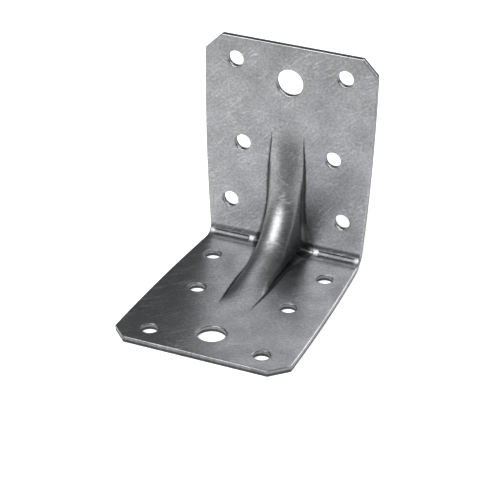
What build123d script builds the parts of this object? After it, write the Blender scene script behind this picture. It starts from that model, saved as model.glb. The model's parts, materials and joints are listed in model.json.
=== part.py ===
from build123d import *
from math import cos, radians, sin, sqrt
import os

# Angle bracket: one steel sheet, punched, folded to a right angle and pressed into
# a stiffening rib across the fold. Millimetres, +Z up. The base flange lies flat
# with its free end towards -Y, and the wall flange stands at the +Y side. The
# origin is at the middle of the bracket's outer box, on the underside of the base.

# Sheet and fold
sheet = 2.0
flange_reach = 70.0
width = 55.0
fold_inner_radius = 3.5

# Flange outline: the sides draw in towards the fold, where the rib pulled on them
corner_chamfer = 4.8
waist_half_width = 25.0
waist_length = 58.0

# Holes, alike in both flanges: half their spacing, and distance from the free end, or
# from the outer corner for the pair by the fold
bolt_diameter = 8.5
bolt_from_end = 11.9
nail_diameter = 5.0
end_nails_half_spacing = 17.6
end_nails_from_end = 7.2
middle_nails_half_spacing = 14.75
middle_nails_from_end = 34.5
fold_nails_half_spacing = 18.5
fold_nails_from_corner = 15.1

# Crown of the rib: an arc from flange to flange that meets each at a small angle
rib_reach = 38.0
rib_entry_angle = 4.0

# Section of the rib, flat and square at its ends and rounder at the fold
rib_draft = 9.0
rib_end_flat = 4.6
rib_end_shoulder = 3.0
rib_fold_flat = 0.4
rib_fold_shoulder = 4.2

# Foot of the rib: a small radius that flares where it runs into the fold
rib_foot_radius = 1.2
rib_fold_foot_radius = 6.0
rib_flare_angle = 20.0
rib_foot_slope = 20.0
rib_skirt = 4.0
rib_shortest_flank = 0.3
rib_steps = 12

# Coined line in the fold, which runs out short of each side
coin_nose_radius = 1.8
coin_depth = 0.3
coin_half_length = 23.5
coin_run_out = 2.0

fold_outer_radius = fold_inner_radius + sheet
flange_length = flange_reach - fold_outer_radius
half_width = width / 2
back = flange_reach / 2

# The crown's radius, and how far its centre stands off both inner faces
entry = radians(rib_entry_angle)
crown_radius = rib_reach / (cos(entry) - sin(entry))
crown_stand_off = crown_radius * cos(entry)

# Each flange's plane starts where the fold ends, on the outer face. Its y runs to the
# free end, and its z goes through the sheet.
base_plane = Plane(
    origin=(0, back - fold_outer_radius, 0), x_dir=(-1, 0, 0), z_dir=(0, 0, 1)
)
wall_plane = Plane(
    origin=(0, back, fold_outer_radius), x_dir=(1, 0, 0), z_dir=(0, -1, 0)
)


def flange_outline():
    """A flange from the end of the fold to its free end, with waisted sides."""
    waist_end = waist_length - fold_outer_radius
    with BuildSketch() as outline:
        with BuildLine():
            Line((0, 0), (waist_half_width, 0))
            TangentArc((half_width, waist_end), (waist_half_width, 0), tangent=(0, -1))
            Polyline(
                (half_width, waist_end),
                (half_width, flange_length - corner_chamfer),
                (half_width - corner_chamfer, flange_length),
                (0, flange_length),
                (0, 0),
            )
        make_face()
        mirror(about=Plane.YZ)
    return outline.sketch


def hole_outlines():
    """The bolt hole and the three pairs of nail holes of a flange."""
    nails = (
        (end_nails_half_spacing, flange_length - end_nails_from_end),
        (middle_nails_half_spacing, flange_length - middle_nails_from_end),
        (fold_nails_half_spacing, fold_nails_from_corner - fold_outer_radius),
    )
    with BuildSketch() as holes:
        with Locations((0, flange_length - bolt_from_end)):
            Circle(bolt_diameter / 2)
        for half_spacing, along in nails:
            with Locations((half_spacing, along), (-half_spacing, along)):
                Circle(nail_diameter / 2)
    return holes.sketch


def folded_sheet():
    """Both flanges and the fold between them, with the coined line pressed in."""
    flanges = [extrude(plane * flange_outline(), sheet) for plane in (base_plane, wall_plane)]
    ring = Circle(fold_outer_radius) - Circle(fold_inner_radius)
    quarter = Rectangle(
        fold_outer_radius, fold_outer_radius, align=(Align.MIN, Align.MAX)
    )
    fold_plane = Plane(
        origin=(-waist_half_width, back - fold_outer_radius, fold_outer_radius),
        x_dir=(0, 1, 0),
        z_dir=(1, 0, 0),
    )
    fold = extrude(fold_plane * (ring & quarter), 2 * waist_half_width)
    return flanges[0] + flanges[1] + fold - coined_line()


def coined_line():
    """The nose of the tool that sharpened the fold, pushed in along its diagonal."""
    from_corner = fold_inner_radius * (sqrt(2) - 1) + coin_nose_radius - coin_depth
    stand_off = from_corner / sqrt(2)
    centre = Pos(0, back - sheet - stand_off, sheet + stand_off)
    half_length = coin_half_length - coin_run_out
    nose = Rot(0, 90, 0) * Cylinder(coin_nose_radius, 2 * half_length)

    # Each end tapers by twice the depth, so that it leaves the sheet halfway along
    tip = Cone(coin_nose_radius, coin_nose_radius - 2 * coin_depth, 2 * coin_run_out)
    for side in (-1, 1):
        nose += Pos(side * (half_length + coin_run_out), 0, 0) * Rot(0, 90 * side, 0) * tip
    return centre * nose


def inner_face_depth(angle):
    """How far the sheet's inner face lies behind the crown, at this angle round it."""
    from_diagonal = radians(abs(angle - 45))
    fold_centre = (crown_stand_off - fold_inner_radius) * sqrt(2)
    aside = fold_centre * sin(from_diagonal)
    if aside < fold_inner_radius / sqrt(2):
        reach = fold_centre * cos(from_diagonal) + sqrt(fold_inner_radius**2 - aside**2)
    else:
        reach = crown_stand_off / cos(radians(45) - from_diagonal)
    return reach - crown_radius


def rib_section(angle, inset):
    """The rib's outline on the plane at this angle round the crown, moved in by inset.

    Its x runs across the rib, and its y runs from the crown out to the sheet.
    """
    end_share = (1 - cos(radians(abs(angle - 45) * 4))) / 2
    fold_share = max(0.0, 1 - abs(angle - 45) / rib_flare_angle) ** 2
    flat = rib_fold_flat + end_share * (rib_end_flat - rib_fold_flat)
    shoulder = rib_fold_shoulder + end_share * (rib_end_shoulder - rib_fold_shoulder)
    foot = rib_foot_radius + fold_share * (rib_fold_foot_radius - rib_foot_radius)
    draft = radians(rib_draft)
    slope = radians(rib_foot_slope)

    # The straight flank joins the shoulder's arc to the foot's
    shoulder_drop = shoulder * (1 - sin(draft))
    foot_drop = foot * (cos(slope) - sin(draft))
    shortest = shoulder_drop + foot_drop + rib_shortest_flank
    depth = max(inner_face_depth(angle), shortest)
    flank = (depth - shoulder_drop - foot_drop) / cos(draft)

    # Both arcs keep their centres as the outline moves in
    shoulder_centre = Vector(flat, shoulder)
    foot_centre = Vector(
        flat + (shoulder + foot) * cos(draft) + flank * sin(draft),
        depth - foot * cos(slope),
    )
    shoulder_radius = shoulder - inset
    foot_radius = foot + inset

    def out(turn):
        """A unit vector, turned this far from straight across the rib to the crown."""
        return Vector(cos(turn), -sin(turn))

    upright = radians(90)
    crown_end = shoulder_centre + out(upright) * shoulder_radius
    flank_start = shoulder_centre + out(draft) * shoulder_radius
    flank_end = foot_centre - out(draft) * foot_radius
    foot_end = foot_centre - out(upright - slope) * foot_radius
    skirt_end = foot_end + Vector(cos(slope), sin(slope)) * rib_skirt
    root = skirt_end + Vector(0, sheet)
    with BuildSketch() as section:
        with BuildLine():
            Line((0, inset), crown_end)
            ThreePointArc(
                crown_end,
                shoulder_centre + out((upright + draft) / 2) * shoulder_radius,
                flank_start,
            )
            Line(flank_start, flank_end)
            ThreePointArc(
                flank_end,
                foot_centre - out((upright - slope + draft) / 2) * foot_radius,
                foot_end,
            )
            Polyline(foot_end, skirt_end, root, (0, root.Y), (0, inset))
        make_face()
        mirror(about=Plane.YZ)
    turn = radians(angle)
    plane = Plane(
        origin=(0, back - sheet - crown_stand_off, sheet + crown_stand_off),
        x_dir=(1, 0, 0),
        z_dir=(0, cos(turn), sin(turn)),
    )
    return plane * Pos(0, crown_radius) * section.sketch


def rib_block(inset):
    """The rib as a solid block, from its crown to behind the sheet."""
    step = 90 / rib_steps
    return loft([rib_section(step * i, inset) for i in range(rib_steps + 1)])


def inside_corner():
    """The space in front of the middle of the sheet, which trims the rib's block."""
    middle = sheet / 2
    square = Rectangle(flange_reach, flange_reach, align=(Align.MAX, Align.MIN))
    corner = square.vertices().sort_by(Axis.X)[-2:].sort_by(Axis.Y)[0]
    square = fillet(corner, fold_inner_radius + middle)
    space = extrude(Plane.YZ * Pos(back - middle, middle) * square, half_width, both=True)
    return space


def angle_bracket():
    """The sheet, folded, ribbed and punched."""
    bracket = folded_sheet() + (rib_block(0) & inside_corner()) - rib_block(sheet)
    for plane in (base_plane, wall_plane):
        bracket -= extrude(plane * hole_outlines(), sheet)
    return bracket


os.makedirs("parts", exist_ok=True)
bracket = angle_bracket()
bracket.label = "angle_bracket"
export_step(bracket, "parts/angle_bracket.step")
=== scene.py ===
import json
import math

import bpy
import numpy as np
from mathutils import Matrix, Vector
from mathutils.geometry import delaunay_2d_cdt


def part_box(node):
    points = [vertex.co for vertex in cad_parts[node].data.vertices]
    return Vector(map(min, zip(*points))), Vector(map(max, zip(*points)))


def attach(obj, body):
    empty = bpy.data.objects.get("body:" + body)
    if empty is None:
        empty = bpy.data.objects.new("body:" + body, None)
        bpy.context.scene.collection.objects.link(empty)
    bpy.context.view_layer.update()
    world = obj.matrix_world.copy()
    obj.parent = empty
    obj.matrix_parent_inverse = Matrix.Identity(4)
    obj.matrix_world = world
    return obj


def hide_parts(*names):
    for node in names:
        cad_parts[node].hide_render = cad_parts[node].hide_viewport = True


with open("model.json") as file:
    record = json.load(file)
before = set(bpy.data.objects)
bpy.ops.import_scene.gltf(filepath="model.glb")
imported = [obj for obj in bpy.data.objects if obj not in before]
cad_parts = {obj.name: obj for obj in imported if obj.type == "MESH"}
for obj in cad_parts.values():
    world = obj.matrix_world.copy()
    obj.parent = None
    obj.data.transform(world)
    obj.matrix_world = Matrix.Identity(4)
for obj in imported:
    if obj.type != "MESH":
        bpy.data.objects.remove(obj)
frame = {"record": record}

# An angle bracket of one galvanised sheet, made here as the real one is: a flat blank
# is laid out with its holes, then ribbed, folded and given its sheared edges. Metres.
# The base flange lies flat with its free end towards -Y, and the wall flange stands
# at the +Y side.

bl_info = {
    "name": "Ribbed angle bracket",
    "version": (1, 0, 0),
    "blender": (4, 5, 0),
    "location": "View3D > Sidebar > Angle bracket",
    "description": "Builds a galvanised angle bracket and its studio",
    "category": "Object",
}

MM = 0.001
NODE = "angle_bracket"
BODY = "root"
WHITE = "#FFFFFF"
SENSOR_MM = 36

LOW, HIGH = (Vector(corner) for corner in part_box(NODE))
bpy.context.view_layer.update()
MOUNTS = frame["record"]["mounts"]

# The turn of the corner's diagonal, which is also half the turn of the fold
DIAGONAL = math.pi / 4


def length(name, description, default):
    """A size in metres that the sidebar shows with its unit."""
    return bpy.props.FloatProperty(
        name=name, description=description, default=default, unit="LENGTH", precision=5
    )


def angle(name, description, degrees):
    """An angle that the sidebar shows in degrees."""
    return bpy.props.FloatProperty(
        name=name, description=description, default=math.radians(degrees), unit="ROTATION"
    )


def amount(name, description, default, unit="NONE"):
    """A plain number, or one with another unit."""
    return bpy.props.FloatProperty(
        name=name, description=description, default=default, unit=unit
    )


def colour(name, description, default):
    """A colour as sRGB hex."""
    return bpy.props.StringProperty(name=name, description=description, default=default)


class BracketSheet(bpy.types.PropertyGroup):
    """The sheet, its outline and its fold."""

    thickness: length("Thickness", "Thickness of the sheet", 2.0 * MM)
    fold_radius: length("Fold radius", "Radius of the fold on its inner face", 3.5 * MM)
    chamfer: length("Chamfer", "Cut at each free corner", 4.8 * MM)
    waist: length("Waist", "How far the rib drew each side in at the fold", 2.5 * MM)
    waist_reach: length("Waist reach", "Where the sides are straight again", 62.0 * MM)
    rim_width: length("Rim width", "How far the shear rolled the edge over", 0.45 * MM)
    rim_depth: length("Rim depth", "How deep the rolled edge goes", 0.22 * MM)
    cut_depth: length("Cut depth", "Where the smooth cut ends and the torn band starts", 1.0 * MM)
    tear: length("Tear", "How far the torn band leans back at the far face", 0.1 * MM)
    coin_depth: length("Coin depth", "Depth of the line coined into the fold", 0.12 * MM)
    coin_width: length("Coin width", "Half the width of the coined line", 0.9 * MM)
    coin_start: length("Coin start", "Where the coined line starts beside the rib", 11.5 * MM)
    coin_end: length("Coin end", "Where the coined line stops short of the sides", 23.5 * MM)
    wave: length("Wave", "Height of the slight waves that pressing left in the sheet", 0.03 * MM)
    zinc: colour("Zinc", "Colour of the zinc", "#999A9C")


class BracketRib(bpy.types.PropertyGroup):
    """The rib pressed across the fold."""

    stand_off: length("Stand off", "From both inner faces to the rib's centre", 40.857 * MM)
    reach: length("Reach", "From the inner corner to where the crown meets a flange", 38.0 * MM)
    climb: angle("Climb", "Slope of the crown's straight runs", 14.0)
    bend: length("Bend", "Radius of the crown between its two straight runs", 22.0 * MM)
    fade_start: length("Fade start", "Where the crown leaves its straight run", 31.5 * MM)
    fade_end: length("Fade end", "Where the crown is flush with the flange", 42.0 * MM)
    draft: angle("Draft", "Lean of the flanks", 9.0)
    bow: angle("Bow", "How far half the crown's arc turns", 50.0)
    rounding: amount("Rounding", "How soon the crown gets round as the rib rises", 1.8)
    fold_crown: length("Crown at the fold", "Half the crown's arc at the fold", 4.8 * MM)
    fold_shoulder: length("Shoulder at the fold", "Crown edge radius at the fold", 2.6 * MM)
    end_crown: length("Crown at the ends", "Half the crown's arc at its ends", 4.9 * MM)
    end_shoulder: length("Shoulder at the ends", "Crown edge radius at its ends", 3.0 * MM)
    foot: length("Foot", "Radius at the foot of the flanks", 1.2 * MM)
    fold_foot: length("Foot at the fold", "Radius at the foot where it meets the fold", 4.5 * MM)
    flare: angle("Flare", "How far round the crown's arc the foot flares", 16.0)
    spread: angle("Spread", "How far round the arc the crown reaches its full flat", 45.0)


class StudioSettings(bpy.types.PropertyGroup):
    """The camera, the floor and the lights."""

    azimuth: angle("Azimuth", "The camera's turn from -Y towards +X", 22.252)
    elevation: angle("Elevation", "The camera's height over the floor", 29.322)
    roll: angle("Roll", "The camera's turn about its own axis", 1.252)
    distance: length("Distance", "From the camera to its aim", 0.62675)
    aim_x: length("Aim across", "The camera's aim from the middle", -11.55 * MM)
    aim_up: length("Aim up", "The camera's aim from the base flange's inner face", -3.62 * MM)
    focal: amount("Focal length", "The lens on a 36 mm sensor", 143.4, "CAMERA")
    floor_size: length("Floor", "Side of the square floor", 8.0)
    key_azimuth: angle("Key azimuth", "The key light's turn from -Y towards +X", -18.0)
    key_elevation: angle("Key elevation", "The key light's height over the floor", 46.0)
    key_distance: length("Key distance", "From the bracket to the key light", 0.9)
    key_size: length("Key size", "Side of the square key light", 0.7)
    key_power: amount("Key light", "Power of the key light", 10.0, "POWER")
    rim_azimuth: angle("Rim azimuth", "The rim light's turn from -Y towards +X", 160.0)
    rim_elevation: angle("Rim elevation", "The rim light's height over the floor", 32.0)
    rim_distance: length("Rim distance", "From the bracket to the rim light", 0.9)
    rim_size: length("Rim size", "Side of the square rim light", 0.6)
    rim_power: amount("Rim light", "Power of the rim light", 4.5, "POWER")
    floor_glow: amount("Floor glow", "How far the paper is lit from behind", 0.58)
    paper: colour("Paper", "Colour of the floor's paper", "#E6E6E6")
    card_distance: length("Cards", "From the middle to the dark cards", 130.0 * MM)
    card_height: length("Card height", "Height of the dark cards", 30.0 * MM)
    card: colour("Card colour", "Colour of the dark cards", "#4C4C4C")
    low_level: amount("Walls", "Brightness of the room at the floor", 0.1)
    high_level: amount("Ceiling", "Brightness of the room overhead", 0.35)


# The sheet's inner faces and the fold between them

def sheet_settings():
    """The sidebar's sizes of the sheet."""
    return bpy.context.scene.bracket_sheet


def rib_settings():
    """The sidebar's sizes of the rib."""
    return bpy.context.scene.bracket_rib


def fold_half_length():
    """Half the fold's length on its inner face, where the blank's own lengths are kept."""
    return sheet_settings().fold_radius * DIAGONAL


def fold_start():
    """From the outer corner to where the fold ends and a flat flange starts."""
    sheet = sheet_settings()
    return sheet.fold_radius + sheet.thickness


def along_blank(from_corner):
    """A distance from the outer corner, as a length along the blank from its middle."""
    return from_corner - fold_start() + fold_half_length()


def blank_end():
    """From the middle of the blank to each of its free ends."""
    return along_blank(HIGH.z - LOW.z)


def inner_corner():
    """The sharp corner (y, z) in which the flanges' inner faces would meet."""
    return np.array([HIGH.y, LOW.z]) + sheet_settings().thickness * np.array([-1, 1])


def from_inner_corner(along):
    """Distance from that corner, for a place along the blank."""
    return np.abs(along) - fold_half_length() + sheet_settings().fold_radius


def half_width(along):
    """Half the blank's width, drawn in at the fold and chamfered at its ends."""
    sheet = sheet_settings()
    share = np.clip(np.abs(along) / sheet.waist_reach, 0, 1)
    waisted = HIGH.x - sheet.waist * (1 - share) ** 2
    chamfered = HIGH.x - sheet.chamfer + (blank_end() - np.abs(along))
    return np.minimum(waisted, chamfered)


def folded(along):
    """The inner face's point (y, z) and its direction into the sheet, along the blank."""
    sheet = sheet_settings()
    centre = np.array([HIGH.y - fold_start(), LOW.z + fold_start()])
    turn = np.clip(along / sheet.fold_radius, -DIAGONAL, DIAGONAL) - DIAGONAL
    into = np.stack([np.cos(turn), np.sin(turn)], axis=-1)
    beyond = np.maximum(np.abs(along) - fold_half_length(), 0)
    up_wall = np.where(along > 0, beyond, 0)
    out_base = np.where(along < 0, beyond, 0)
    run = np.stack([-out_base, up_wall], axis=-1)
    return centre + into * sheet.fold_radius + run, into


# The rib, pressed through the fold

def from_diagonal(direction):
    """The turn between a direction out of the rib's centre and the corner's diagonal."""
    return np.abs(np.arctan2(-direction[..., 1], direction[..., 0]) - DIAGONAL)


def crown_distance(turn):
    """From the rib's centre to its crown: a straight run to each side of an arc."""
    rib = rib_settings()
    aside = DIAGONAL - rib.climb
    beyond = rib.stand_off - rib.reach
    run = (rib.stand_off + beyond * math.tan(rib.climb)) * math.cos(rib.climb)
    bend_centre = (run - rib.bend) / math.cos(aside)
    bend_end = math.atan2(
        rib.bend * math.sin(aside), bend_centre + rib.bend * math.cos(aside)
    )
    off_centre = bend_centre * np.sin(turn)
    arc = bend_centre * np.cos(turn) + np.sqrt(np.maximum(rib.bend**2 - off_centre**2, 0))
    return np.where(turn < bend_end, arc, run / np.cos(turn - aside))


def unfaded_depth(along):
    """How far the crown stands off the inner face, and the direction it is measured in."""
    rib = rib_settings()
    point, into = folded(along)
    centre = inner_corner() + rib.stand_off * np.array([-1, 1])
    reach = point - centre
    distance = np.linalg.norm(reach, axis=-1)
    beyond_centre = from_inner_corner(along) > rib.stand_off
    direction = np.where(beyond_centre[..., None], into, reach / distance[..., None])
    return distance - crown_distance(from_diagonal(direction)), direction


def rib_depth(along):
    """The crown's depth and direction, with its ends run out level with the flanges."""
    rib = rib_settings()
    depth, direction = unfaded_depth(along)
    out = from_inner_corner(along)
    slope_step = 0.05 * MM
    beside = rib.fade_start + slope_step * np.array([-1, 0, 1])
    before, start_depth, after = unfaded_depth(
        beside - sheet_settings().fold_radius + fold_half_length()
    )[0]
    start_slope = (after - before) / (2 * slope_step)

    # The run-out is a cubic with the straight run's slope at one end and none at the other
    span = rib.fade_end - rib.fade_start
    share = np.clip((out - rib.fade_start) / span, 0, 1)
    level = (2 * share - 3) * share**2 + 1
    tangent = ((share - 2) * share + 1) * share
    faded = start_depth * level + start_slope * span * tangent
    return np.where(out < rib.fade_start, depth, np.maximum(faded, 0)), direction


def rib_section(across, along):
    """Where a point of the blank lies in the rib: across, height, and the height's direction."""
    rib = rib_settings()
    depth, direction = rib_depth(along)
    turn = from_diagonal(direction)
    spread = np.clip(turn / rib.spread, 0, 1)
    ends = (3 - 2 * spread) * spread**2
    flare = np.clip(1 - turn / rib.flare, 0, 1) ** 2
    crown = rib.fold_crown + ends * (rib.end_crown - rib.fold_crown)
    shoulder = rib.fold_shoulder + ends * (rib.end_shoulder - rib.fold_shoulder)
    foot = rib.foot + flare * (rib.fold_foot - rib.foot)

    # The crown is an arc that opens to almost a flat where the rib gets shallow
    least_bow = 1e-4
    risen = 1 - np.exp(-rib.rounding * depth / (crown * rib.bow))
    bow = rib.bow * risen + least_bow
    arc = crown / bow
    crown_half = arc * np.sin(bow)
    crown_drop = arc * (1 - np.cos(bow))

    # A shallow rib has no straight flank: its shoulder's arc runs into the foot's
    upright = (crown_drop + shoulder * np.cos(bow) + foot - depth) / (shoulder + foot)
    lean = np.clip(upright, math.sin(rib.draft), np.cos(bow))
    sweep = np.arccos(lean)
    arcs_drop = crown_drop + shoulder * (np.cos(bow) - lean) + foot * (1 - lean)
    flank = np.where(upright > math.sin(rib.draft), 0, (depth - arcs_drop) / np.sin(sweep))
    shoulder_half = crown_half + shoulder * (np.sin(sweep) - np.sin(bow))
    shoulder_drop = crown_drop + shoulder * (np.cos(bow) - lean)
    half = shoulder_half + flank * lean + foot * np.sin(sweep)
    total = crown + shoulder * (sweep - bow) + flank + foot * sweep

    # The blank's width inside the rib is spread evenly over the section's length
    least_half = 1e-9
    place = np.abs(across)
    run = np.minimum(place / np.maximum(half, least_half), 1) * total
    on_crown = run / arc
    on_shoulder = bow + (run - crown) / shoulder
    on_flank = run - crown - shoulder * (sweep - bow)
    on_foot = (total - run) / foot
    stages = [run < crown, on_shoulder < sweep, on_flank < flank, place < half]
    x = np.select(
        stages,
        [
            arc * np.sin(on_crown),
            crown_half + shoulder * (np.sin(on_shoulder) - np.sin(bow)),
            shoulder_half + on_flank * lean,
            half - foot * np.sin(on_foot),
        ],
        place,
    )
    down = np.select(
        stages,
        [
            arc * (1 - np.cos(on_crown)),
            crown_drop + shoulder * (np.cos(bow) - np.cos(on_shoulder)),
            shoulder_drop + on_flank * np.sin(sweep),
            depth - foot * (1 - np.cos(on_foot)),
        ],
        depth,
    )
    return np.copysign(x, across), depth - down, direction


def pressed(across, along):
    """The inner face of the finished sheet, for points of the blank."""
    x, height, direction = rib_section(across, along)
    point, _into = folded(along)
    place = point - direction * height[..., None]
    return np.stack([x, place[..., 0], place[..., 1]], axis=-1)


def inward_normal(across, along):
    """The direction out of the inner face, into the space the flanges enclose."""
    step = 0.02 * MM
    over = pressed(across + step, along) - pressed(across - step, along)
    up = pressed(across, along + step) - pressed(across, along - step)
    normal = np.cross(over, up)
    normal /= np.linalg.norm(normal, axis=-1, keepdims=True)
    return normal


# What pressing left on the sheet, and the shade painted into its creases

def coined(across, along):
    """Depth of the line coined along the middle of the fold, with soft ends."""
    sheet = sheet_settings()
    nose = np.sqrt(np.clip(1 - (along / sheet.coin_width) ** 2, 0, 1))
    from_ends = np.minimum(sheet.coin_end - np.abs(across), np.abs(across) - sheet.coin_start)
    ends = np.clip(from_ends / sheet.coin_width, 0, 1)
    return sheet.coin_depth * nose * np.sqrt(ends * (2 - ends))


def hollowed(across, along):
    """How sharply the inner face is hollowed: one over its radius, in millimetres."""
    step = 0.15 * MM
    total = np.zeros_like(across)
    for over, up in ((step, 0), (0, step)):
        run = pressed(across + over, along + up) - pressed(across - over, along - up)
        here = inward_normal(across + over, along + up)
        bend = here - inward_normal(across - over, along - up)
        total -= np.sum(bend * run, axis=-1) / np.sum(run * run, axis=-1)
    return total * MM


def crease_shade_share(across, along):
    """Painted shade where the sheet is creased or hollowed, from 0 to 1: at the foot of the rib
    and in the fold.
    """
    sheet = sheet_settings()

    # The coined line and the lips beside it get this much painted shade, and a lip fades out
    # over this share of the coined line's half width
    coin_share, lip_fade = 0.4, 0.4
    lip = np.exp(-(((np.abs(along) / sheet.coin_width - 1) / lip_fade) ** 2))
    lips = lip * coined(across, np.zeros_like(along)) / sheet.coin_depth
    coin = coined(across, along) / sheet.coin_depth

    # A hollow of 10 mm radius gets no painted shade yet, and one of 2 mm gets it in full
    gentle, sharp = 1 / 10, 1 / 2
    hollow = np.maximum(hollowed(across, along) - gentle, 0) / (sharp - gentle)
    return np.clip(hollow + coin_share * (coin + lips), 0, 1)


def stretch_share(across, along):
    """How far the press drew the sheet out over the fold, from 0 to 1."""
    full_height = 9.0 * MM
    _x, height, _direction = rib_section(across, along)
    return np.clip(height / full_height, 0, 1)


# A long ripple and a short one. Each has its share of the waves' height, and crosses two
# sines: their turns in radians per metre across and along, and where they start.
RIPPLES = (
    (0.35, ((190, 70, 0.8), (-60, 160, 0.0))),
    (0.15, ((410, -230, 2.1), (0, 350, 1.3))),
)


def waves(across, along):
    """The slight waves left in the sheet, never lower than the flat face."""
    height = np.zeros_like(across)
    for share, sines in RIPPLES:
        ripple = 1
        for over, up, start in sines:
            ripple = ripple * np.sin(across * over + along * up + start)
        height += share * (1 + ripple)
    return sheet_settings().wave * height


# The blank, laid out flat

def holes():
    """The holes of both flanges on the blank: across, along and radius."""
    found = []
    for mount in MOUNTS:
        x, y, z = mount["pos_m"]
        dims = mount["dims"]
        on_wall = round(mount["axis"][1]) != 0
        from_corner = z - LOW.z if on_wall else HIGH.y - y
        along = along_blank(from_corner) * (1 if on_wall else -1)
        if mount["kind"] == "bore":
            found.append((x, along, dims["r_mm"] * MM))
        if mount["kind"] == "bolt_pattern":
            half = dims["spacing_x_mm"] * MM / 2
            for side in (-1, 1):
                found.append((x + side * half, along, dims["hole_r_mm"] * MM))
    return found


def outline_loop():
    """The blank's outline as points and their directions into the sheet."""
    sheet = sheet_settings()
    near_fold = 5.0 * MM
    fine, coarse = 0.25 * MM, 0.6 * MM
    chamfer_steps = 12
    too_close = 0.05 * MM

    # The right side from one chamfer to the other, the chamfer, and the end
    end = blank_end()
    chamfer_start = end - sheet.chamfer
    up_fold = np.arange(-near_fold, near_fold, fine)
    up_wall = np.arange(near_fold, chamfer_start, coarse)
    side = np.concatenate([-up_wall[::-1], up_fold, up_wall])
    right = np.stack([half_width(side), side], axis=-1)
    corner = np.array([HIGH.x, chamfer_start])
    corner_end = np.array([HIGH.x - sheet.chamfer, end])
    shares = np.linspace(0, 1, chamfer_steps, endpoint=False)[:, None]
    chamfer = corner + (corner_end - corner) * shares
    across = np.arange(corner_end[0], -corner_end[0], -coarse)
    top = np.stack([across, np.full_like(across, end)], axis=-1)

    # Half a turn of the same points gives the other half
    half = np.concatenate([right, chamfer, top])
    loop = np.concatenate([half, -half])
    gaps = np.linalg.norm(loop - np.roll(loop, 1, axis=0), axis=-1)
    loop = loop[gaps > too_close]
    before = loop - np.roll(loop, 1, axis=0)
    after = np.roll(loop, -1, axis=0) - loop
    before /= np.linalg.norm(before, axis=-1, keepdims=True)
    after /= np.linalg.norm(after, axis=-1, keepdims=True)
    inward = np.stack([-before[:, 1] - after[:, 1], before[:, 0] + after[:, 0]], axis=-1)
    inward /= (1 + np.sum(before * after, axis=-1))[:, None]
    return loop, inward


def hole_loop(x, along, radius):
    """A hole's edge as points and their directions into the sheet.

    A larger hole has more points, and the smallest one still has enough to look round.
    """
    per_mm, least = 9, 12
    count = 2 * round(radius * per_mm / MM) + least
    turn = np.arange(count) * (2 * math.pi / count)
    outward = np.stack([np.cos(turn), -np.sin(turn)], axis=-1)
    return np.array([x, along]) + radius * outward, outward


def lattice(across_limit, along_limit, across_step, along_step):
    """A grid of blank points about the middle."""
    columns = round(across_limit / across_step)
    rows = round(along_limit / along_step)
    across = np.arange(-columns, columns + 1) * across_step
    along = np.arange(-rows, rows + 1) * along_step
    grid = np.stack(np.meshgrid(across, along), axis=-1)
    return grid.reshape(-1, 2)


def inner_points(all_holes):
    """Points between the edges: close together in the rib and the fold, wider elsewhere."""
    # Half the sizes of the rib's part of the blank and of the fold's
    rib_across, rib_along, fold_along = 13.0 * MM, 44.0 * MM, 4.6 * MM

    # The steps between points, and the gaps left between the parts and beside the edges
    rib_step, rib_step_along = 0.25 * MM, 0.4 * MM
    fold_step, fold_step_along = 0.8 * MM, 0.15 * MM
    flat_step = 1.2 * MM
    fold_gap, flat_gap, edge_gap = 0.3 * MM, 0.6 * MM, 0.4 * MM

    end = blank_end()
    in_rib = lattice(rib_across, rib_along, rib_step, rib_step_along)
    in_both = lattice(rib_across, fold_along, rib_step, fold_step_along)
    in_fold = lattice(HIGH.x, fold_along, fold_step, fold_step_along)
    flat = lattice(HIGH.x, end, flat_step, flat_step)
    in_rib = in_rib[np.abs(in_rib[:, 1]) >= fold_along]
    in_fold = in_fold[np.abs(in_fold[:, 0]) > rib_across + fold_gap]
    aside, up = np.abs(flat).T
    beside_rib = (aside > rib_across + flat_gap) | (up > rib_along + flat_gap)
    flat = flat[beside_rib & (up > fold_along + flat_gap)]
    points = np.concatenate([in_rib, in_both, in_fold, flat])

    clear = sheet_settings().rim_width + edge_gap
    aside, up = np.abs(points).T
    inside = (aside < half_width(up) - clear) & (up < end - clear)
    for x, along, radius in all_holes:
        inside &= np.hypot(points[:, 0] - x, points[:, 1] - along) > radius + clear
    return points[inside]


def rim_profile():
    """The sheared edge from the inner face to the outer: in from the edge, and depth."""
    sheet = sheet_settings()
    turns = [math.radians(degrees) for degrees in (18, 36, 54, 70, 82, 90)]
    rolled = [
        (sheet.rim_width * (1 - math.sin(turn)), sheet.rim_depth * (1 - math.cos(turn)))
        for turn in turns
    ]

    # The torn band starts on a small ledge, leans back, and ends in a broken corner
    torn_steps = 5
    ledge, ledge_depth = 0.02 * MM, 0.04 * MM
    broken, broken_depth = 0.07 * MM, 0.05 * MM
    torn_start = sheet.cut_depth + ledge_depth
    torn_height = sheet.thickness - broken_depth - torn_start
    torn = [
        (ledge + sheet.tear * share, torn_start + torn_height * share)
        for share in np.linspace(0, 1, torn_steps)
    ]
    return [*rolled, (0, sheet.cut_depth), *torn, (sheet.tear + broken, sheet.thickness)]


# The mesh of the sheet

def triangulated(blank, spans):
    """Triangles between the blank's points, with its holes left open.

    The first span of points is the outline, and each other one is a hole's edge.
    """
    edges = [(span[i - 1], span[i]) for span in spans for i in range(len(span))]
    points = [Vector(point) for point in blank * (1 / MM)]

    # The kind of output with only what lies inside the outline, and how near in
    # millimetres two points count as one
    inside, nearest = 1, 1e-6
    made = delaunay_2d_cdt(points, edges, [], inside, nearest)
    source = [ids[0] for ids in made[3]]
    triangles = np.array([[source[i] for i in face] for face in made[2]])
    loop_of = np.full(len(blank), -1)
    for number, span in enumerate(spans):
        loop_of[span.start : span.stop] = number
    owners = loop_of[triangles]
    in_hole = (owners[:, 0] > 0) & (owners == owners[:, :1]).all(axis=1)
    return triangles[~in_hole]


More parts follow.
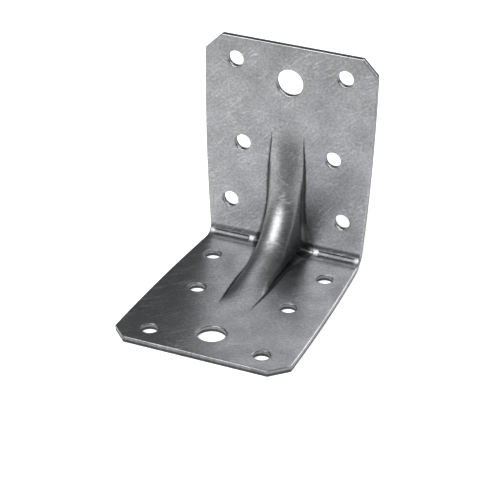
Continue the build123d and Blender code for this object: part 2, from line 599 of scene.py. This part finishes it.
def strip(first, second):
    """Triangles between two rings of as many points."""
    first_next, second_next = np.roll(first, -1), np.roll(second, -1)
    lower = np.stack([first, second, first_next], axis=-1)
    upper = np.stack([first_next, second, second_next], axis=-1)
    return np.concatenate([lower, upper])


def lifted(points, lift):
    """The blank's points on the finished sheet, lifted off its inner face."""
    across, along = points.T
    return pressed(across, along) + inward_normal(across, along) * lift[:, None]


def build_sheet():
    """The whole sheet: vertices, faces, and what its finish and its painted crease shade depend
    on at each vertex.
    """
    sheet = sheet_settings()
    all_holes = holes()
    loops = [outline_loop()] + [hole_loop(*hole) for hole in all_holes]
    rims = [edge + inward * sheet.rim_width for edge, inward in loops]
    ends = np.cumsum([len(rim) for rim in rims])
    spans = [range(end - len(rim), end) for rim, end in zip(rims, ends)]
    blank = np.concatenate(rims + [inner_points(all_holes)])
    triangles = triangulated(blank, spans)

    # The inner face and the outer one
    count = len(blank)
    across, along = blank.T
    lift = waves(across, along)
    coined_lift = lift - coined(across, along)
    vertices = [lifted(blank, coined_lift), lifted(blank, lift - sheet.thickness)]
    faces = [triangles, triangles[:, ::-1] + count]
    places = [blank, blank]
    edge_depths = [np.zeros(2 * count)]

    # The sheared edges, ring by ring from the inner face to the outer
    total = 2 * count
    for (edge, inward), span in zip(loops, spans):
        inner_ring = np.array(span)
        above = inner_ring
        for inset, depth in rim_profile():
            ring = edge + inward * inset
            vertices.append(lifted(ring, waves(*ring.T) - depth))
            places.append(ring)
            edge_depths.append(np.full(len(ring), depth / sheet.thickness))
            below = np.arange(total, total + len(ring))
            faces.append(strip(above, below))
            above = below
            total += len(ring)
        faces.append(strip(above, inner_ring + count))

    # Shade painted into the zinc in the creases of the fold and at the rib's foot
    painted_shade = crease_shade_share(across, along)
    stretch = np.tile(stretch_share(across, along), 2)
    finish_and_shade = {
        "blank_mm": np.pad(np.concatenate(places) / MM, ((0, 0), (0, 1))),
        "edge_depth": np.concatenate(edge_depths),
        "painted_shade": np.pad(painted_shade, (0, total - count)),
        "stretch": np.pad(stretch, (0, total - 2 * count)),
    }
    return np.concatenate(vertices), np.concatenate(faces), finish_and_shade


# Materials

# A value's whole range, and the range in which nearly all of a noise pattern lies
WHOLE = (0.0, 1.0)
NOISY = (0.3, 0.7)


def linear(hex_colour):
    """An sRGB hex colour as linear red, green, blue and alpha."""
    parts = [int(hex_colour[i : i + 2], 16) / 255 for i in (1, 3, 5)]
    return (*(p / 12.92 if p <= 0.04045 else ((p + 0.055) / 1.055) ** 2.4 for p in parts), 1)


def add_node(tree, kind, inputs=(), **settings):
    """Adds a node. Each input is a value, or the output of another node that feeds it."""
    made = tree.nodes.new(kind)
    for name, value in settings.items():
        setattr(made, name, value)
    for key, value in dict(inputs).items():
        if isinstance(value, bpy.types.NodeSocket):
            tree.links.new(value, made.inputs[key])
        else:
            made.inputs[key].default_value = value
    return made


def new_material(name):
    """A material with no nodes yet, and its node tree."""
    material = bpy.data.materials.new(name)
    material.use_nodes = True
    material.node_tree.nodes.clear()
    return material, material.node_tree


def mark_pattern(tree, place, long_mm, wide_mm, detail, degrees=0):
    """Uneven marks of this length and width on the blank, turned by this angle."""
    turned = add_node(
        tree,
        "ShaderNodeVectorRotate",
        {"Vector": place, "Angle": math.radians(degrees)},
        rotation_type="Z_AXIS",
    )
    sized = add_node(
        tree,
        "ShaderNodeVectorMath",
        {0: turned.outputs[0], 1: (1 / long_mm, 1 / wide_mm, 1)},
        operation="MULTIPLY",
    )
    noise = add_node(
        tree, "ShaderNodeTexNoise", {"Vector": sized.outputs[0], "Scale": 1.0, "Detail": detail}
    )
    return noise.outputs["Fac"]


def worked_in(tree, operation, start, *parts):
    """Works values into the first, each moved from its own range to another first."""
    result = start
    for value, (low, high), (to_low, to_high) in parts:
        inputs = {"Value": value, "From Min": low, "From Max": high}
        inputs |= {"To Min": to_low, "To Max": to_high}
        moved = add_node(tree, "ShaderNodeMapRange", inputs).outputs[0]
        made = add_node(tree, "ShaderNodeMath", {0: result, 1: moved}, operation=operation)
        result = made.outputs[0]
    return result


def galvanised_sheet():
    """Hot-dip galvanised sheet steel. Its zinc is a dull grey metal with a soft sheen, and shade
    is painted into its creases.
    """
    material, tree = new_material("galvanised_steel_sheet")
    place = add_node(tree, "ShaderNodeAttribute", attribute_name="blank_mm").outputs["Vector"]
    # The depth down a sheared edge, the shade painted into the creases, and the stretch over the
    # rib
    edge, painted_shade, stretch = (
        add_node(tree, "ShaderNodeAttribute", attribute_name=name).outputs["Fac"]
        for name in ("edge_depth", "painted_shade", "stretch")
    )

    # The zinc is clouded. Its grain is too fine to show, so it is drawn as a coarser sand,
    # which breaks up reflections.
    clouds = mark_pattern(tree, place, 7.7, 7.7, 4.0)
    sand = mark_pattern(tree, place, 0.77, 0.77, 3.0)

    # Handling scratches lie along one diagonal of the sheet, and fewer cross them. Scuffs
    # are short marks close together, in patches. All are drawn wider than they are.
    scratches = mark_pattern(tree, place, 14.3, 0.455, 2.0, -48)
    crossing = mark_pattern(tree, place, 20.0, 0.588, 2.0, 35)
    patches = mark_pattern(tree, place, 11.1, 11.1, 2.0)
    short_marks = mark_pattern(tree, place, 2.6, 0.7, 3.0, -30)
    scuffs = worked_in(
        tree,
        "MULTIPLY",
        1.0,
        (patches, (0.5, 0.6), WHOLE),
        (short_marks, (0.52, 0.62), WHOLE),
    )
    marks = worked_in(
        tree,
        "MAXIMUM",
        scuffs,
        (scratches, (0.61, 0.71), WHOLE),
        (crossing, (0.65, 0.75), (0.0, 0.7)),
    )

    # Down a sheared edge, in shares of the thickness, the smooth cut starts at the first
    # pair of values and the dark, rough torn band at the second
    cut, torn = (0.04, 0.12), (0.45, 0.56)

    # Painted shade: the zinc is drawn darkest in the creases of the fold and at the rib's foot
    tone = worked_in(
        tree,
        "MULTIPLY",
        1.0,
        (clouds, NOISY, (0.86, 1.12)),
        (sand, NOISY, (0.78, 1.2)),
        (marks, WHOLE, (0.97, 1.35)),
        (edge, cut, (1.0, 0.62)),
        (edge, torn, (1.0, 0.4)),
        # painted shade in the creases and hollows
        (painted_shade, WHOLE, (1.0, 0.15)),
    )
    zinc = linear(sheet_settings().zinc)[:3]
    toned = add_node(tree, "ShaderNodeVectorMath", {0: zinc, "Scale": tone}, operation="SCALE")

    # It is duller where it is marked, torn, or stretched over the rib
    roughness = worked_in(
        tree,
        "ADD",
        0.0,
        (clouds, NOISY, (0.36, 0.3)),
        (marks, WHOLE, (0.0, 0.12)),
        (edge, torn, (0.0, 0.3)),
        (stretch, WHOLE, (0.0, 0.1)),
    )
    grain = worked_in(tree, "MULTIPLY", sand, (edge, torn, (1.0, 0.0)))
    relief = worked_in(tree, "ADD", grain, (marks, WHOLE, WHOLE))
    bump = add_node(
        tree, "ShaderNodeBump", {"Height": relief, "Strength": 0.7, "Distance": 0.03 * MM}
    )
    shader = add_node(
        tree,
        "ShaderNodeBsdfPrincipled",
        {
            "Base Color": toned.outputs[0],
            "Metallic": 1.0,
            "Roughness": roughness,
            "Normal": bump.outputs[0],
        },
    )
    add_node(tree, "ShaderNodeOutputMaterial", {"Surface": shader.outputs[0]})
    return material


def dark_card():
    """Matt dark grey studio card. It gives the metal something dark to mirror."""
    material, tree = new_material("matt_dark_card")
    card = linear(bpy.context.scene.bracket_studio.card)
    shader = add_node(
        tree,
        "ShaderNodeBsdfPrincipled",
        {"Base Color": card, "Roughness": 0.9, "Specular IOR Level": 0.1},
    )
    add_node(tree, "ShaderNodeOutputMaterial", {"Surface": shader.outputs[0]})
    return material


def floor_paper():
    """White studio paper. It looks white to the camera and in the metal, and keeps shade."""
    studio = bpy.context.scene.bracket_studio
    material, tree = new_material("white_studio_paper")
    path = add_node(tree, "ShaderNodeLightPath")
    rays = ("Is Camera Ray", "Is Glossy Ray", "Is Transmission Ray")
    lit = (0.0, studio.floor_glow)
    glow = worked_in(tree, "MAXIMUM", 0.0, *((path.outputs[ray], WHOLE, lit) for ray in rays))
    shader = add_node(
        tree,
        "ShaderNodeBsdfPrincipled",
        {
            "Base Color": linear(studio.paper),
            "Roughness": 0.9,
            "Specular IOR Level": 0.0,
            "Emission Color": linear(WHITE),
            "Emission Strength": glow,
        },
    )
    add_node(tree, "ShaderNodeOutputMaterial", {"Surface": shader.outputs[0]})
    return material


# Operators

# The two triangles of a rectangle whose corners are given in order
RECTANGLE = np.array([(0, 1, 2), (0, 2, 3)])


def new_object(name, vertices, faces, material):
    """A smooth mesh object of triangles with one material."""
    mesh = bpy.data.meshes.new(name)
    mesh.from_pydata(vertices.tolist(), [], faces.tolist())
    mesh.materials.append(material)
    mesh.shade_smooth()
    mesh.update()
    made = bpy.data.objects.new(name, mesh)
    bpy.context.scene.collection.objects.link(made)
    return made


class BRACKET_OT_sheet(bpy.types.Operator):
    """Presses and folds the bracket's sheet"""

    bl_idname = "bracket.sheet"
    bl_label = "Build the bracket"

    def execute(self, context):
        vertices, faces, finish_and_shade = build_sheet()
        piece = new_object("bracket_sheet", vertices, faces, galvanised_sheet())
        for name, values in finish_and_shade.items():
            kind, field = ("FLOAT", "value") if values.ndim == 1 else ("FLOAT_VECTOR", "vector")
            layer = piece.data.attributes.new(name, kind, "POINT")
            layer.data.foreach_set(field, values.astype(np.float32).ravel())
        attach(piece, BODY)
        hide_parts(NODE)
        return {"FINISHED"}


def around(azimuth, elevation, distance):
    """A point at an azimuth from -Y towards +X, an elevation and a distance."""
    level = math.cos(elevation) * distance
    return Vector(
        (math.sin(azimuth) * level, -math.cos(azimuth) * level, math.sin(elevation) * distance)
    )


def aimed(place, aim):
    """A matrix at place whose -Z looks at aim, with +Y upwards."""
    turn = (aim - place).to_track_quat("-Z", "Y")
    return Matrix.LocRotScale(place, turn, None)


def add_softbox(name, place, aim, size, power):
    """A square area light."""
    light = bpy.data.lights.new(name, "AREA")
    light.shape = "SQUARE"
    light.size = size
    light.energy = power
    made = bpy.data.objects.new(name, light)
    made.matrix_world = aimed(place, aim)
    bpy.context.scene.collection.objects.link(made)


class BRACKET_OT_studio(bpy.types.Operator):
    """Adds the floor, the lights, the cards, the room and the camera"""

    bl_idname = "bracket.studio"
    bl_label = "Build the studio"

    def execute(self, context):
        studio = context.scene.bracket_studio
        half = studio.floor_size / 2
        outline = [(-half, -half), (half, -half), (half, half), (-half, half)]
        corners = np.array([(x, y, LOW.z) for x, y in outline])
        floor = new_object("studio_floor", corners, RECTANGLE, floor_paper())
        middle = Vector((0, 0, (LOW.z + HIGH.z) / 2))
        key = middle + around(studio.key_azimuth, studio.key_elevation, studio.key_distance)
        add_softbox("key_light", key, middle, studio.key_size, studio.key_power)
        rim = middle + around(studio.rim_azimuth, studio.rim_elevation, studio.rim_distance)
        add_softbox("rim_light", rim, middle, studio.rim_size, studio.rim_power)
        self.build_card("front_card", 0, studio)
        self.build_card("right_card", math.radians(90), studio)
        self.build_room(context, studio)
        self.build_camera(context, studio)
        return {"FINISHED"}

    def build_card(self, name, azimuth, studio):
        """A dark card on the floor that only shows in the metal."""
        near = around(azimuth, 0, studio.card_distance)
        across = Vector((0, 0, 1)).cross(near).normalized() * studio.card_distance
        foot = near + Vector((0, 0, LOW.z))
        head = foot + Vector((0, 0, studio.card_height))
        corners = np.array([foot - across, foot + across, head + across, head - across])
        card = new_object(name, corners, RECTANGLE, dark_card())
        card.visible_camera = False
        card.visible_shadow = False
        card.visible_diffuse = False

    def build_room(self, context, studio):
        """A grey room that grows lighter towards its ceiling."""
        world = bpy.data.worlds.new("studio_room")
        context.scene.world = world
        world.use_nodes = True
        tree = world.node_tree
        tree.nodes.clear()

        # Where it starts to grow lighter and where it is lightest, as sines of the elevation
        wall_top, overhead = 0.4, 1.0
        place = add_node(tree, "ShaderNodeTexCoord")
        parts = add_node(tree, "ShaderNodeSeparateXYZ", {0: place.outputs["Generated"]})
        level = add_node(
            tree,
            "ShaderNodeMapRange",
            {
                "Value": parts.outputs["Z"],
                "From Min": wall_top,
                "From Max": overhead,
                "To Min": studio.low_level,
                "To Max": studio.high_level,
            },
            interpolation_type="SMOOTHSTEP",
        )
        shader = add_node(
            tree, "ShaderNodeBackground", {"Color": linear(WHITE), "Strength": level.outputs[0]}
        )
        add_node(tree, "ShaderNodeOutputWorld", {"Surface": shader.outputs[0]})

    def build_camera(self, context, studio):
        """The camera at the photograph's angle."""
        aim = Vector((0, *inner_corner())) + Vector((studio.aim_x, 0, studio.aim_up))
        place = aim + around(studio.azimuth, studio.elevation, studio.distance)
        lens = bpy.data.cameras.new("camera")
        lens.lens = studio.focal
        lens.sensor_width = SENSOR_MM
        made = bpy.data.objects.new("camera", lens)
        made.matrix_world = aimed(place, aim) @ Matrix.Rotation(studio.roll, 4, "Z")
        context.scene.collection.objects.link(made)
        context.scene.camera = made


class BRACKET_PT_sidebar(bpy.types.Panel):
    """Lists the bracket's settings and its two steps"""

    bl_idname = "BRACKET_PT_sidebar"
    bl_label = "Angle bracket"
    bl_space_type = "VIEW_3D"
    bl_region_type = "UI"
    bl_category = "Angle bracket"

    def draw(self, context):
        for operator in (BRACKET_OT_sheet, BRACKET_OT_studio):
            self.layout.operator(operator.bl_idname)
        for group in SETTINGS.values():
            settings = getattr(context.scene, group)
            for name in settings.bl_rna.properties.keys():
                if name not in ("rna_type", "name"):
                    self.layout.prop(settings, name)


SETTINGS = {
    BracketSheet: "bracket_sheet",
    BracketRib: "bracket_rib",
    StudioSettings: "bracket_studio",
}
CLASSES = (*SETTINGS, BRACKET_OT_sheet, BRACKET_OT_studio, BRACKET_PT_sidebar)


def register():
    for each in CLASSES:
        bpy.utils.register_class(each)
    for group, name in SETTINGS.items():
        setattr(bpy.types.Scene, name, bpy.props.PointerProperty(type=group))


def unregister():
    for name in SETTINGS.values():
        delattr(bpy.types.Scene, name)
    for each in reversed(CLASSES):
        bpy.utils.unregister_class(each)


def main():
    """Builds the bracket and its studio."""
    register()
    bpy.ops.bracket.sheet()
    bpy.ops.bracket.studio()
    bpy.context.scene.view_settings.view_transform = "Standard"


if __name__ == "__main__":
    main()
